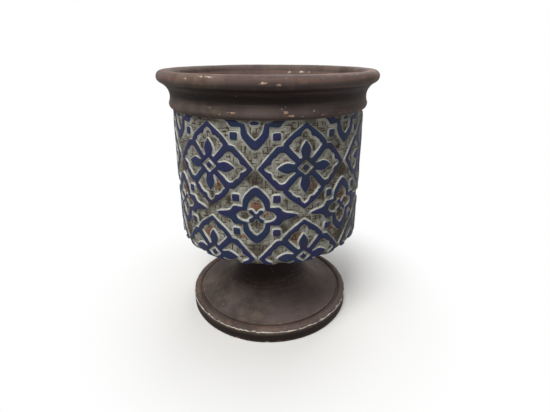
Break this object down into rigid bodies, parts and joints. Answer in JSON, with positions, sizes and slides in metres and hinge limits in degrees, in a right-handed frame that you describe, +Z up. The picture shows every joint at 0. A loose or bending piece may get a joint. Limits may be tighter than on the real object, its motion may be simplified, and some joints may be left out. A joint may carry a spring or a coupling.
{
  "type": "footed planter",
  "caption": "Footed clay planter: round relief-walled pot with a rolled rim, lifted onto a low trumpet-shaped stand on a disc foot.",
  "frame": {"origin": "centre of the underside of the stand's foot, on the floor", "axes": "+Z up along the common axis of pot and stand; the pictured side faces -Y"},
  "size_m": [0.326, 0.3259, 0.4],
  "materials": {
    "brown_wash_clay": "fired clay under a thin dark brown wash, satin",
    "painted_relief_clay": "press-moulded relief, raised blue bands with pale edges over greyed clay, matte",
    "bare_clay": "bare fired clay, matte"
  },
  "bodies": {
    "stand": {"stand_foot": "brown_wash_clay", "stand_stem": "brown_wash_clay", "stand_seat": "brown_wash_clay"},
    "pot": {"pot_foot_ring": "bare_clay", "pot_floor": "bare_clay", "pot_wall": "painted_relief_clay", "pot_rim": "brown_wash_clay"}
  },
  "joints": [
    {"name": "pot_lift", "type": "slide", "parent": "stand", "child": "pot", "axis": [0, 0, 1], "range_m": [0, 0.12]}
  ]
}
